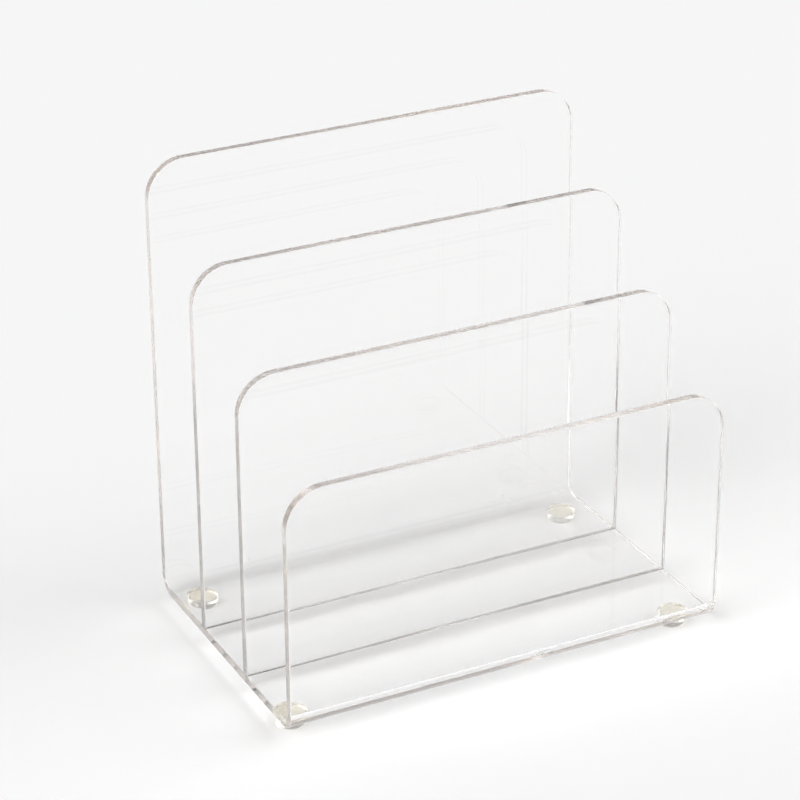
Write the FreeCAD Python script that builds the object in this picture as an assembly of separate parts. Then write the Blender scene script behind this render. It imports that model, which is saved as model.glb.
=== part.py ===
"""Clear acrylic letter sorter with three upright slots, on four soft bumper feet.

All sizes are in millimetres. X runs along the width, +Y from the low front panel to
the tall back panel, and +Z up. The origin is the middle of the footprint, on the
surface that the feet rest on.
"""
import FreeCAD
import Part
import math
import os

# The sheet, one thickness for the bent body and for both dividers
sheet_thickness = 3.0
sorter_width = 152.4
slot_width = 29.87
bend_inner_radius = 3.5
corner_radius = 12.7
polished_arris_radius = 0.4

# Panel heights, each from the underside of the base sheet to the panel's top edge
front_height = 83.0
front_divider_height = 106.0
rear_divider_height = 129.0
back_height = 152.4

# Bumper feet, stuck on by hand with a clear tape disc
foot_diameter = 10.0
foot_tread_diameter = 9.4
foot_height = 3.0
foot_edge_radius = 0.9
tape_thickness = 0.2
tape_margin = 0.4

# How far each foot's centre lies in from the sheet's end and from its front or back
front_left_foot_from_end = 5.1
front_left_foot_from_front = 11.5
front_right_foot_from_end = 10.7
front_right_foot_from_front = 10.2
back_foot_from_end = 9.0
back_foot_from_back = 12.0

# Places that follow from the sizes above
half_width = sorter_width / 2
sorter_depth = 3 * slot_width + 4 * sheet_thickness
half_depth = sorter_depth / 2
underside_z = foot_height + tape_thickness
floor_z = underside_z + sheet_thickness
panel_pitch = slot_width + sheet_thickness
bend_outer_radius = bend_inner_radius + sheet_thickness


def arc(centre_y, centre_z, radius, start_degrees, end_degrees):
    """Arc in the YZ plane, at the sheet's left end."""
    points = []
    for degrees in (start_degrees, (start_degrees + end_degrees) / 2, end_degrees):
        angle = math.radians(degrees)
        y = centre_y + radius * math.cos(angle)
        z = centre_z + radius * math.sin(angle)
        points.append(FreeCAD.Vector(-half_width, y, z))
    return Part.Arc(*points).toShape()


def line(start, end):
    """Straight edge in the YZ plane, at the sheet's left end."""
    first = FreeCAD.Vector(-half_width, start[0], start[1])
    last = FreeCAD.Vector(-half_width, end[0], end[1])
    return Part.LineSegment(first, last).toShape()


def body_section():
    """The bent sheet seen from its end: low front, flat base, tall back."""
    front_top = underside_z + front_height
    back_top = underside_z + back_height
    inner_y = half_depth - sheet_thickness
    bend_z = underside_z + bend_outer_radius
    bend_y = half_depth - bend_outer_radius
    edges = [
        line((-half_depth, front_top), (-half_depth, bend_z)),
        arc(-bend_y, bend_z, bend_outer_radius, 180, 270),
        line((-bend_y, underside_z), (bend_y, underside_z)),
        arc(bend_y, bend_z, bend_outer_radius, 270, 360),
        line((half_depth, bend_z), (half_depth, back_top)),
        line((half_depth, back_top), (inner_y, back_top)),
        line((inner_y, back_top), (inner_y, bend_z)),
        arc(bend_y, bend_z, bend_inner_radius, 360, 270),
        line((bend_y, floor_z), (-bend_y, floor_z)),
        arc(-bend_y, bend_z, bend_inner_radius, 270, 180),
        line((-inner_y, bend_z), (-inner_y, front_top)),
        line((-inner_y, front_top), (-half_depth, front_top)),
    ]
    return Part.Face(Part.Wire(edges))


def round_top_corners(panel, top_z):
    """Round the upper corners of the panels whose top edge is at top_z."""
    corners = []
    for edge in panel.Edges:
        box = edge.BoundBox
        across_sheet = abs(box.YLength - sheet_thickness) < 1e-6 and box.XLength < 1e-6
        if across_sheet and abs(box.ZMin - top_z) < 1e-6:
            corners.append(edge)
    return panel.makeFillet(corner_radius, corners)


def face_normal_at(face, point):
    """Outward normal of a face at the point on it nearest to the given one."""
    u, v = face.Surface.parameter(point)
    return face.normalAt(u, v)


def sharp_edges(solid):
    """Edges where two faces meet at an angle, and not the seams between tangent faces."""
    found = []
    for edge in solid.Edges:
        faces = solid.ancestorsOfType(edge, Part.Face)
        if len(faces) != 2:
            continue
        middle = edge.valueAt((edge.FirstParameter + edge.LastParameter) / 2)
        first, second = [face_normal_at(face, middle) for face in faces]
        if first.dot(second) < 0.5:
            found.append(edge)
    return found


def body_sheet():
    """Front panel, base and back panel: one sheet with two heat bends."""
    sheet = body_section().extrude(FreeCAD.Vector(sorter_width, 0, 0))
    sheet = round_top_corners(sheet, underside_z + front_height)
    sheet = round_top_corners(sheet, underside_z + back_height)
    return sheet.makeFillet(polished_arris_radius, sharp_edges(sheet))


def divider(front_y, height):
    """Flat panel cemented on the base, with its front face at front_y."""
    foot_of_panel = FreeCAD.Vector(-half_width, front_y, floor_z)
    panel_height = height - sheet_thickness
    panel = Part.makeBox(sorter_width, sheet_thickness, panel_height, foot_of_panel)
    panel = round_top_corners(panel, underside_z + height)
    polished = [edge for edge in sharp_edges(panel) if edge.BoundBox.ZMax > floor_z + 1e-6]
    return panel.makeFillet(polished_arris_radius, polished)


def foot(x, y):
    """Soft bumper: a short drafted disc with a rounded tread edge."""
    place = FreeCAD.Vector(x, y, 0)
    disc = Part.makeCone(foot_tread_diameter / 2, foot_diameter / 2, foot_height, place)
    tread_edge = [edge for edge in disc.Edges if edge.BoundBox.ZMax < 1e-6]
    return disc.makeFillet(foot_edge_radius, tread_edge)


def tape_disc(x, y):
    """Clear double-sided tape between a foot and the base."""
    place = FreeCAD.Vector(x, y, foot_height)
    return Part.makeCylinder(foot_diameter / 2 - tape_margin, tape_thickness, place)


def foot_places():
    """Name and centre of each foot."""
    back_x = half_width - back_foot_from_end
    back_y = half_depth - back_foot_from_back
    return {
        "front_left": (
            front_left_foot_from_end - half_width,
            front_left_foot_from_front - half_depth,
        ),
        "front_right": (
            half_width - front_right_foot_from_end,
            front_right_foot_from_front - half_depth,
        ),
        "back_left": (-back_x, back_y),
        "back_right": (back_x, back_y),
    }


def all_parts():
    """Every piece of the sorter under its node name."""
    first_divider_y = panel_pitch - half_depth
    second_divider_y = first_divider_y + panel_pitch
    parts = {
        "body_sheet": body_sheet(),
        "front_divider": divider(first_divider_y, front_divider_height),
        "rear_divider": divider(second_divider_y, rear_divider_height),
    }
    for corner, (x, y) in foot_places().items():
        parts[corner + "_foot"] = foot(x, y)
        parts[corner + "_foot_tape"] = tape_disc(x, y)
    return parts


os.makedirs("parts", exist_ok=True)
for name, shape in all_parts().items():
    shape.exportStep("parts/" + name + ".step")
    print(name, "valid", shape.isValid(), "solids", len(shape.Solids), "mm3", round(shape.Volume, 1))
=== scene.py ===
"""Looks of the clear acrylic letter sorter.

Lengths are in metres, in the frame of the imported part: X along the width, +Y from the
low front panel to the tall back panel, +Z up from the surface that the feet rest on.
"""
import math

import bmesh
import bpy
from mathutils import Matrix, Vector


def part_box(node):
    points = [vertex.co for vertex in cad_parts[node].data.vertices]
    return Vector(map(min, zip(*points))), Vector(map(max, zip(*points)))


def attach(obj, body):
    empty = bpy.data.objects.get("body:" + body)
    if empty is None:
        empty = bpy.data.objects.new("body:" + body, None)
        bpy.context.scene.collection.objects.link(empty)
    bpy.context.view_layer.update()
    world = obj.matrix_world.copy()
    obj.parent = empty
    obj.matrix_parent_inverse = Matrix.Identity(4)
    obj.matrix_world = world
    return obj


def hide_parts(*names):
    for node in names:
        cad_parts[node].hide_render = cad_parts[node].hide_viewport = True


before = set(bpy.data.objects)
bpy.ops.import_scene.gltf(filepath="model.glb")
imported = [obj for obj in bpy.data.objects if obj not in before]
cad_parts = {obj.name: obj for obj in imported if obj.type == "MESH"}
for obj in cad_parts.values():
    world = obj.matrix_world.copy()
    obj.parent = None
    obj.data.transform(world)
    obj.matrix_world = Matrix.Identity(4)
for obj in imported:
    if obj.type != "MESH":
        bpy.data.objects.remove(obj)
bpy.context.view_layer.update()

MM = 0.001

# Sizes of the sheet that its box in the frame doesn't give
FRONT_HEIGHT = 83.0 * MM
BEND_INNER_RADIUS = 3.5 * MM
CORNER_RADIUS = 12.7 * MM
POLISHED_ARRIS_RADIUS = 0.4 * MM

# Sizes of the bumpers that their boxes don't give
TREAD_DIAMETER = 9.4 * MM
TREAD_EDGE_RADIUS = 0.9 * MM
RIM_EDGE_RADIUS = 0.15 * MM

# A cemented or stuck joint sinks this far, so that no air film shows in it
JOINT_DEPTH = 0.03 * MM

# The flat sheet is warmed this far beyond each bend
HEAT_SPREAD = 4.0 * MM

# The treads stand this far above the floor, so that their faces don't coincide with it
FLOOR_GAP = 0.02 * MM

# How finely the round stretches are divided
CORNER_SEGMENTS = 24
BEND_SEGMENTS = 20
ARRIS_SEGMENTS = 3
BUMPER_SEGMENTS = 96
TREAD_EDGE_SEGMENTS = 8
RIM_EDGE_SEGMENTS = 3

# Places nearer than this are the same place
NEAR = 0.001 * MM

# Faces that meet at more than this angle have an arris between them
ARRIS_ANGLE = math.radians(45)

# A face of the flat blank is level if its normal's Z is at least this
LEVEL_NORMAL_Z = 0.99

# The modifier's top setting, at which only the largest face at a vertex sets its normal
LARGEST_FACE_WEIGHT = 100

# The camera looks along its azimuth and down by its elevation at a point in the sorter
CAMERA_AZIMUTH = math.radians(26.65)
CAMERA_ELEVATION = math.radians(26.12)
CAMERA_ROLL = math.radians(-0.35)
CAMERA_TARGET = Vector((2.52, 30.56, 64.12)) * MM
CAMERA_DISTANCE = 955 * MM
CAMERA_LENS = 130.4
CAMERA_SENSOR = 36.0

# How far the floor reaches from the sorter
FLOOR_REACH = 4.0

# A large diffuser overhead and one at each side, each by its direction and how wide it looks.
# The side ones stand so far out that the front bend doesn't show them to the camera.
OVERHEAD_SOURCE = Vector((0.0, -0.3, 1.0))
OVERHEAD_SPREAD = math.radians(100)
OVERHEAD_STRENGTH = 0.6
LEFT_SOURCE = Vector((-1.3, -0.5, 0.9))
RIGHT_SOURCE = Vector((1.3, -0.5, 0.9))
SIDE_SPREAD = math.radians(46)
LEFT_STRENGTH = 1.8
RIGHT_STRENGTH = 1.1

# The surroundings are as bright as the floor at the horizon, so that no line shows there.
# They fade between these heights, given as the sine of the angle above it.
HORIZON_LEVEL = 0.93
SKY_LEVEL = 0.25
FADE_STARTS = 0.03
FADE_ENDS = 0.25

# How many times light may be reflected and refracted in a clear piece before it is lost
LIGHT_BOUNCES = 200

sheet_low, sheet_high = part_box("body_sheet")
divider_low, divider_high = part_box("front_divider")
HALF_WIDTH = sheet_high.x
HALF_DEPTH = sheet_high.y
UNDERSIDE_Z = sheet_low.z
SHEET_THICKNESS = divider_high.y - divider_low.y
BEND_OUTER_RADIUS = BEND_INNER_RADIUS + SHEET_THICKNESS
BEND_Y = HALF_DEPTH - BEND_OUTER_RADIUS
BEND_Z = UNDERSIDE_Z + BEND_OUTER_RADIUS

# Lengths of the stretches of the flat blank that the sheet is bent from, front to back
MIDDLE_RADIUS = BEND_INNER_RADIUS + SHEET_THICKNESS / 2
FRONT_FLAT = FRONT_HEIGHT - BEND_OUTER_RADIUS
BEND_LENGTH = MIDDLE_RADIUS * math.pi / 2
BASE_FLAT = 2 * BEND_Y
BACK_FLAT = sheet_high.z - BEND_Z
FRONT_BEND_END = FRONT_FLAT + BEND_LENGTH
BACK_BEND_START = FRONT_BEND_END + BASE_FLAT
BACK_BEND_END = BACK_BEND_START + BEND_LENGTH
BLANK_LENGTH = BACK_BEND_END + BACK_FLAT


def linear(hex_code):
    """An sRGB hex colour as the linear colour that the shaders take."""
    channels = [int(hex_code[i:i + 2], 16) / 255 for i in (1, 3, 5)]
    return [c / 12.92 if c <= 0.04045 else ((c + 0.055) / 1.055) ** 2.4 for c in channels] + [1.0]


def add(tree, kind, settings=None, inputs=None):
    """Adds a node, sets its properties, and gives its inputs a value or another node's output."""
    made = tree.nodes.new("ShaderNode" + kind)
    for name, value in (settings or {}).items():
        setattr(made, name, value)
    for key, value in (inputs or {}).items():
        if isinstance(value, bpy.types.NodeSocket):
            tree.links.new(value, made.inputs[key])
        else:
            made.inputs[key].default_value = value
    return made


def empty_material(name):
    """A material with no nodes yet."""
    material = bpy.data.materials.new(name)
    material.use_nodes = True
    material.node_tree.nodes.clear()
    return material


def edge_ripples(tree, blank, edge):
    """Height in millimetres of the saw's ripples on the edges, which the flame has softened.

    They run straight through the thickness, and some stretches were flamed less than others.
    """
    ripple_spacing = 1.4
    ripple_length_through_sheet = 28.0
    flamed_stretch = 33.0
    well_flamed_below = 0.5
    barely_flamed_above = 0.65
    depth_well_flamed = 0.005
    depth_barely_flamed = 0.05
    through = add(tree, "Mapping", {}, {
        "Vector": blank.outputs["Vector"],
        "Scale": (1 / ripple_spacing, 1 / ripple_spacing, 1 / ripple_length_through_sheet),
    })
    saw = add(tree, "TexNoise", {}, {
        "Vector": through.outputs["Vector"],
        "Scale": 1.0,
        "Detail": 2.0,
    })
    flame = add(tree, "TexNoise", {}, {
        "Vector": blank.outputs["Vector"],
        "Scale": 1 / flamed_stretch,
        "Detail": 1.0,
    })
    depth = add(tree, "MapRange", {}, {
        "Value": flame.outputs["Fac"],
        "From Min": well_flamed_below,
        "From Max": barely_flamed_above,
        "To Min": depth_well_flamed,
        "To Max": depth_barely_flamed,
    })
    ripple = add(tree, "Math", {"operation": "MULTIPLY"}, {
        0: saw.outputs["Fac"],
        1: depth.outputs["Result"],
    })
    on_edges = add(tree, "Math", {"operation": "MULTIPLY"}, {
        0: ripple.outputs[0],
        1: edge.outputs["Fac"],
    })
    return on_edges.outputs[0]


def strip_waves(tree, blank, heated):
    """Height in millimetres of the waves of the heated strips, long along a bend and short across."""
    wave_length_along = 20.0
    wave_length_across = 3.3
    wave_height = 0.04
    stretched = add(tree, "Mapping", {}, {
        "Vector": blank.outputs["Vector"],
        "Scale": (1 / wave_length_along, 1 / wave_length_across, 1 / wave_length_across),
    })
    wave = add(tree, "TexNoise", {}, {
        "Vector": stretched.outputs["Vector"],
        "Scale": 1.0,
        "Detail": 1.0,
    })
    height = add(tree, "Math", {"operation": "MULTIPLY"}, {
        0: wave.outputs["Fac"],
        1: wave_height,
    })
    in_strips = add(tree, "Math", {"operation": "MULTIPLY"}, {
        0: height.outputs[0],
        1: heated.outputs["Fac"],
    })
    return in_strips.outputs[0]


def strip_scuffs(tree, blank, heated):
    """Roughness of small faint scuffs on the heated strips, in a few small patches."""
    patch_spacing = 14.0
    patch_starts = 0.69
    patch_full = 0.73
    scuff_length = 1.7
    scuff_width = 0.5
    scuff_starts = 0.55
    scuff_full = 0.6
    scuff_roughness = 0.3
    rubbed = add(tree, "TexNoise", {}, {
        "Vector": blank.outputs["Vector"],
        "Scale": 1 / patch_spacing,
        "Detail": 0.0,
    })
    patch = add(tree, "MapRange", {}, {
        "Value": rubbed.outputs["Fac"],
        "From Min": patch_starts,
        "From Max": patch_full,
    })
    grit = add(tree, "Mapping", {}, {
        "Vector": blank.outputs["Vector"],
        "Scale": (1 / scuff_length, 1 / scuff_width, 1 / scuff_width),
    })
    marks = add(tree, "TexNoise", {}, {
        "Vector": grit.outputs["Vector"],
        "Scale": 1.0,
        "Detail": 1.0,
    })
    mark = add(tree, "MapRange", {}, {
        "Value": marks.outputs["Fac"],
        "From Min": scuff_starts,
        "From Max": scuff_full,
        "To Max": scuff_roughness,
    })
    scuff = add(tree, "Math", {"operation": "MULTIPLY"}, {
        0: patch.outputs["Result"],
        1: mark.outputs["Result"],
    })
    in_strips = add(tree, "Math", {"operation": "MULTIPLY"}, {
        0: scuff.outputs[0],
        1: heated.outputs["Fac"],
    })
    return in_strips.outputs[0]


def cast_acrylic():
    """Clear cast acrylic sheet, sawn to shape, flame-polished at its edges and line-bent.

    Its faces are flat and glossy, so they show only by what they reflect. The flame leaves
    low ripples of the saw on the edges and takes a little of their gloss. The sheet is
    slightly uneven where it was heated to bend it, and the bends carry a few faint scuffs,
    because they stand out furthest. Light that runs along inside the sheet comes out of its
    edges a warm grey.
    """
    material = empty_material("flame_polished_cast_acrylic")
    tree = material.node_tree
    blank = add(tree, "Attribute", {"attribute_name": "blank_mm"})
    edge = add(tree, "Attribute", {"attribute_name": "polished_edge"})
    heated = add(tree, "Attribute", {"attribute_name": "heated_strip"})
    height_mm = add(tree, "Math", {"operation": "ADD"}, {
        0: edge_ripples(tree, blank, edge),
        1: strip_waves(tree, blank, heated),
    })
    bump = add(tree, "Bump", {}, {"Height": height_mm.outputs[0], "Strength": 1.0, "Distance": MM})
    flamed_edge_roughness = 0.1
    roughness = add(tree, "Math", {"operation": "MULTIPLY_ADD"}, {
        0: edge.outputs["Fac"],
        1: flamed_edge_roughness,
        2: strip_scuffs(tree, blank, heated),
    })
    surface = add(tree, "BsdfPrincipled", {}, {
        "Base Color": linear("#ffffff"),
        "Roughness": roughness.outputs[0],
        "IOR": 1.49,
        "Transmission Weight": 1.0,
        "Normal": bump.outputs["Normal"],
    })
    body = add(tree, "VolumeAbsorption", {}, {"Color": linear("#e8dfd9"), "Density": 4.0})
    add(tree, "OutputMaterial", {}, {
        "Surface": surface.outputs["BSDF"],
        "Volume": body.outputs["Volume"],
    })
    return material


def clear_polyurethane():
    """Clear soft polyurethane, cast in drops: glossy and faintly cream, with fine dust on it."""
    material = empty_material("clear_cast_polyurethane")
    tree = material.node_tree
    dust_spacing = 0.8 * MM
    clean_below = 0.4
    dusty_above = 0.7
    clean_roughness = 0.05
    dusty_roughness = 0.12
    place = add(tree, "TexCoord")
    dust = add(tree, "TexNoise", {}, {
        "Vector": place.outputs["Object"],
        "Scale": 1 / dust_spacing,
        "Detail": 3.0,
    })
    haze = add(tree, "MapRange", {}, {
        "Value": dust.outputs["Fac"],
        "From Min": clean_below,
        "From Max": dusty_above,
        "To Min": clean_roughness,
        "To Max": dusty_roughness,
    })
    surface = add(tree, "BsdfPrincipled", {}, {
        "Base Color": linear("#fffefa"),
        "Roughness": haze.outputs["Result"],
        "IOR": 1.5,
        "Transmission Weight": 1.0,
    })
    body = add(tree, "VolumeAbsorption", {}, {"Color": linear("#f2efe2"), "Density": 10.0})
    add(tree, "OutputMaterial", {}, {
        "Surface": surface.outputs["BSDF"],
        "Volume": body.outputs["Volume"],
    })
    return material


def adhesive_film():
    """Clear acrylic adhesive film: mottled, because it hasn't wetted out everywhere."""
    material = empty_material("clear_adhesive_film")
    tree = material.node_tree
    patch_spacing = 2.8 * MM
    wetted_below = 0.45
    unwetted_above = 0.55
    wetted_roughness = 0.02
    unwetted_roughness = 0.12
    place = add(tree, "TexCoord")
    patches = add(tree, "TexNoise", {}, {
        "Vector": place.outputs["Object"],
        "Scale": 1 / patch_spacing,
        "Detail": 1.0,
    })
    haze = add(tree, "MapRange", {}, {
        "Value": patches.outputs["Fac"],
        "From Min": wetted_below,
        "From Max": unwetted_above,
        "To Min": wetted_roughness,
        "To Max": unwetted_roughness,
    })
    surface = add(tree, "BsdfPrincipled", {}, {
        "Base Color": linear("#fefdf9"),
        "Roughness": haze.outputs["Result"],
        "IOR": 1.47,
        "Transmission Weight": 1.0,
    })
    add(tree, "OutputMaterial", {}, {"Surface": surface.outputs["BSDF"]})
    return material


def flat_blank(length, rounded_ends):
    """A flat blank of the sorter's width and of the given length, from Y 0 to its length.

    The corners at the ends named in rounded_ends, 0 or the length, are rounded.
    """
    blank = bmesh.new()
    half_sides = Matrix.Diagonal((HALF_WIDTH, length / 2, 1, 1))
    place = Matrix.Translation((0, length / 2, 0))
    bmesh.ops.create_grid(blank, x_segments=1, y_segments=1, size=1.0, matrix=place @ half_sides)
    corners = [v for v in blank.verts if any(abs(v.co.y - end) < NEAR for end in rounded_ends)]
    bmesh.ops.bevel(
        blank, geom=corners, affect="VERTICES", offset=CORNER_RADIUS,
        segments=CORNER_SEGMENTS, profile=0.5, material=-1,
    )
    return blank


def cut_across(blank, places):
    """Cuts the blank across at each of the places along it, so that it can bend there."""
    for place in places:
        everything = blank.verts[:] + blank.edges[:] + blank.faces[:]
        bmesh.ops.bisect_plane(blank, geom=everything, plane_co=(0, place, 0), plane_no=(0, 1, 0))


def thicken(blank):
    """Gives the flat blank the sheet's thickness, upwards from Z 0."""
    grown = bmesh.ops.extrude_face_region(blank, geom=blank.faces[:])
    moved = [item for item in grown["geom"] if isinstance(item, bmesh.types.BMVert)]
    bmesh.ops.translate(blank, verts=moved, vec=(0, 0, SHEET_THICKNESS))
    bmesh.ops.recalc_face_normals(blank, faces=blank.faces[:])


def polish_edges(blank, rough_end=None):
    """Rounds the arrises, except at a rough end, and marks the blank's polished edge faces."""
    arrises = []
    for edge in blank.edges:
        at_rough_end = rough_end is not None and all(
            abs(v.co.y - rough_end) < NEAR for v in edge.verts
        )
        if edge.calc_face_angle() > ARRIS_ANGLE and not at_rough_end:
            arrises.append(edge)
    bmesh.ops.bevel(
        blank, geom=arrises, affect="EDGES", offset=POLISHED_ARRIS_RADIUS,
        segments=ARRIS_SEGMENTS, profile=0.5, material=-1,
    )
    polished = blank.faces.layers.float.new("polished_edge")
    for face in blank.faces:
        face[polished] = 0.0 if abs(face.normal.z) >= LEVEL_NORMAL_Z else 1.0


def keep_blank_places(blank):
    """Stores where each vertex lay in the flat blank, in millimetres, for patterns to follow."""
    flat_place = blank.verts.layers.float_vector.new("blank_mm")
    for vert in blank.verts:
        vert[flat_place] = vert.co / MM


def mark_heated_strips(blank, bend_starts):
    """Marks the vertices of the bends, so that the mark fades out over the warmed margins."""
    heated = blank.verts.layers.float.new("heated_strip")
    for vert in blank.verts:
        in_bend = any(-NEAR < vert.co.y - start < BEND_LENGTH + NEAR for start in bend_starts)
        vert[heated] = 1.0 if in_bend else 0.0


def bent(place):
    """Where a point of the flat blank lies after bending: front panel, base, back panel."""
    along = place.y
    depth = place.z
    if along < FRONT_FLAT:
        y = -HALF_DEPTH + depth
        z = BEND_Z + FRONT_FLAT - along
    elif along < FRONT_BEND_END:
        angle = (along - FRONT_FLAT) / MIDDLE_RADIUS
        y = -BEND_Y - (BEND_OUTER_RADIUS - depth) * math.cos(angle)
        z = BEND_Z - (BEND_OUTER_RADIUS - depth) * math.sin(angle)
    elif along < BACK_BEND_START:
        y = -BEND_Y + along - FRONT_BEND_END
        z = UNDERSIDE_Z + depth
    elif along < BACK_BEND_END:
        angle = (along - BACK_BEND_START) / MIDDLE_RADIUS
        y = BEND_Y + (BEND_OUTER_RADIUS - depth) * math.sin(angle)
        z = BEND_Z - (BEND_OUTER_RADIUS - depth) * math.cos(angle)
    else:
        y = HALF_DEPTH - depth
        z = BEND_Z + along - BACK_BEND_END
    return Vector((place.x, y, z))


def finish_piece(shape, name, material, node):
    """Makes the shape a smooth-shaded object that stands for a node of the frame."""
    for face in shape.faces:
        face.smooth = True
    mesh = bpy.data.meshes.new(name)
    shape.to_mesh(mesh)
    shape.free()
    mesh.materials.append(material)
    piece = bpy.data.objects.new(name, mesh)
    bpy.context.scene.collection.objects.link(piece)
    flats = piece.modifiers.new("flat_faces_stay_flat", "WEIGHTED_NORMAL")
    flats.weight = LARGEST_FACE_WEIGHT
    flats.keep_sharp = True
    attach(piece, "root")
    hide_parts(node)


def bent_sheet(material):
    """Front panel, base and back panel: one sheet with two heat bends."""
    blank = flat_blank(BLANK_LENGTH, (0, BLANK_LENGTH))
    bend_starts = (FRONT_FLAT, BACK_BEND_START)
    step = BEND_LENGTH / BEND_SEGMENTS
    for start in bend_starts:
        cut_across(blank, [start - HEAT_SPREAD, start + BEND_LENGTH + HEAT_SPREAD])
        cut_across(blank, [start + i * step for i in range(BEND_SEGMENTS + 1)])
    thicken(blank)
    polish_edges(blank)
    keep_blank_places(blank)
    mark_heated_strips(blank, bend_starts)
    for vert in blank.verts:
        vert.co = bent(vert.co)
    bmesh.ops.recalc_face_normals(blank, faces=blank.faces[:])
    finish_piece(blank, "bent_sheet", material, "body_sheet")


def divider(material, node):
    """A flat panel with rounded upper corners, cemented upright on the base."""
    low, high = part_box(node)
    height = high.z - low.z + JOINT_DEPTH
    panel = flat_blank(height, (height,))
    thicken(panel)
    polish_edges(panel, rough_end=0)
    keep_blank_places(panel)
    upright = Matrix.Rotation(math.pi / 2, 4, "X")
    place = Matrix.Translation((0, high.y, low.z - JOINT_DEPTH))
    bmesh.ops.transform(panel, matrix=place @ upright, verts=panel.verts[:])
    finish_piece(panel, node + "_panel", material, node)


def upright_disc(low, high, lower_diameter):
    """A disc that fills the box from low to high and sinks a little into what is above it."""
    centre = (low + high) / 2
    height = high.z - low.z + JOINT_DEPTH
    disc = bmesh.new()
    bmesh.ops.create_cone(
        disc, cap_ends=True, segments=BUMPER_SEGMENTS, depth=height,
        radius1=lower_diameter / 2, radius2=(high.x - low.x) / 2,
        matrix=Matrix.Translation((centre.x, centre.y, low.z + height / 2)),
    )
    return disc


def round_rim(disc, z, radius, segments):
    """Rounds the edge of a disc at the given height."""
    rim = [edge for edge in disc.edges if all(abs(v.co.z - z) < NEAR for v in edge.verts)]
    bmesh.ops.bevel(
        disc, geom=rim, affect="EDGES", offset=radius, segments=segments, profile=0.5, material=-1
    )


def bumper(material, node):
    """A soft drafted disc with a rounded tread edge, stuck on through its tape."""
    low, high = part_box(node)
    disc = upright_disc(low, high, TREAD_DIAMETER)
    round_rim(disc, low.z, TREAD_EDGE_RADIUS, TREAD_EDGE_SEGMENTS)
    round_rim(disc, high.z + JOINT_DEPTH, RIM_EDGE_RADIUS, RIM_EDGE_SEGMENTS)
    finish_piece(disc, node + "_bumper", material, node)


def tape(material, node):
    """The die-cut disc of clear tape between a bumper and the base."""
    low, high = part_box(node)
    disc = upright_disc(low, high, high.x - low.x)
    finish_piece(disc, node + "_disc", material, node)


def add_camera():
    """The camera at the photograph's viewing angle."""
    data = bpy.data.cameras.new("camera")
    data.lens = CAMERA_LENS
    data.sensor_width = CAMERA_SENSOR
    camera = bpy.data.objects.new("camera", data)
    bpy.context.scene.collection.objects.link(camera)
    turn = (
        Matrix.Rotation(-CAMERA_AZIMUTH, 4, "Z")
        @ Matrix.Rotation(math.pi / 2 - CAMERA_ELEVATION, 4, "X")
        @ Matrix.Rotation(CAMERA_ROLL, 4, "Z")
    )
    back = turn @ Vector((0, 0, CAMERA_DISTANCE))
    camera.matrix_world = Matrix.Translation(CAMERA_TARGET + back) @ turn
    bpy.context.scene.camera = camera


def add_floor():
    """A plain pale floor that keeps the sorter's shadow."""
    surface = bmesh.new()
    level = Matrix.Translation((0, 0, -FLOOR_GAP))
    bmesh.ops.create_grid(surface, x_segments=1, y_segments=1, size=FLOOR_REACH, matrix=level)
    mesh = bpy.data.meshes.new("floor")
    surface.to_mesh(mesh)
    surface.free()
    material = empty_material("matt_white_paper")
    tree = material.node_tree
    paper = add(tree, "BsdfDiffuse", {}, {"Color": linear("#fcfcfc")})
    add(tree, "OutputMaterial", {}, {"Surface": paper.outputs["BSDF"]})
    mesh.materials.append(material)
    floor = bpy.data.objects.new("floor", mesh)
    bpy.context.scene.collection.objects.link(floor)


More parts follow.
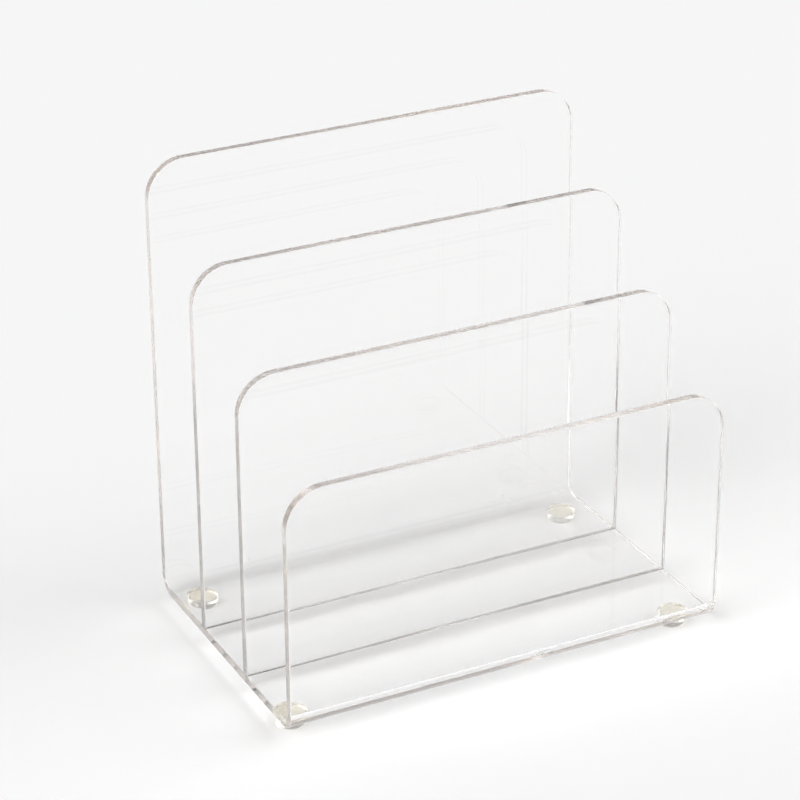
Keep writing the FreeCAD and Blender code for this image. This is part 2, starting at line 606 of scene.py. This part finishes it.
def add_soft_light(name, source, spread, strength):
    """Even light from one direction, as from a large diffuser far away.

    Its strength is in watts per square metre, the same all over the floor.
    """
    data = bpy.data.lights.new(name, "SUN")
    data.angle = spread
    data.energy = strength
    light = bpy.data.objects.new(name, data)
    bpy.context.scene.collection.objects.link(light)
    light.rotation_mode = "QUATERNION"
    light.rotation_quaternion = source.to_track_quat("Z", "Y")


def allow_long_light_paths():
    """Lets light go on inside the clear pieces until it comes out of them.

    It is reflected there at every face that it meets. With few bounces it is lost on the
    way, and the edges and bends come out black. The glossy filter is off, because it would
    blur what follows the first rough reflection.
    """
    paths = bpy.context.scene.cycles
    paths.max_bounces = LIGHT_BOUNCES
    paths.glossy_bounces = LIGHT_BOUNCES
    paths.transmission_bounces = LIGHT_BOUNCES
    paths.blur_glossy = 0.0


def add_sky():
    """Even studio surroundings, pale at the horizon and a mid grey higher up."""
    world = bpy.data.worlds.new("studio")
    bpy.context.scene.world = world
    world.use_nodes = True
    tree = world.node_tree
    tree.nodes.clear()
    direction = add(tree, "TexCoord")
    parts = add(tree, "SeparateXYZ", {}, {0: direction.outputs["Generated"]})
    level = add(tree, "MapRange", {"interpolation_type": "SMOOTHSTEP"}, {
        "Value": parts.outputs["Z"],
        "From Min": FADE_STARTS,
        "From Max": FADE_ENDS,
        "To Min": HORIZON_LEVEL,
        "To Max": SKY_LEVEL,
    })
    light = add(tree, "Background", {}, {
        "Color": linear("#ffffff"),
        "Strength": level.outputs["Result"],
    })
    add(tree, "OutputWorld", {}, {"Surface": light.outputs["Background"]})


acrylic = cast_acrylic()
polyurethane = clear_polyurethane()
film = adhesive_film()

bent_sheet(acrylic)
for divider_node in ("front_divider", "rear_divider"):
    divider(acrylic, divider_node)
for corner in ("front_left", "front_right", "back_left", "back_right"):
    bumper(polyurethane, corner + "_foot")
    tape(film, corner + "_foot_tape")

add_camera()
add_floor()
add_soft_light("overhead_light", OVERHEAD_SOURCE, OVERHEAD_SPREAD, OVERHEAD_STRENGTH)
add_soft_light("left_light", LEFT_SOURCE, SIDE_SPREAD, LEFT_STRENGTH)
add_soft_light("right_light", RIGHT_SOURCE, SIDE_SPREAD, RIGHT_STRENGTH)
add_sky()
allow_long_light_paths()
bpy.context.scene.view_settings.view_transform = "Standard"
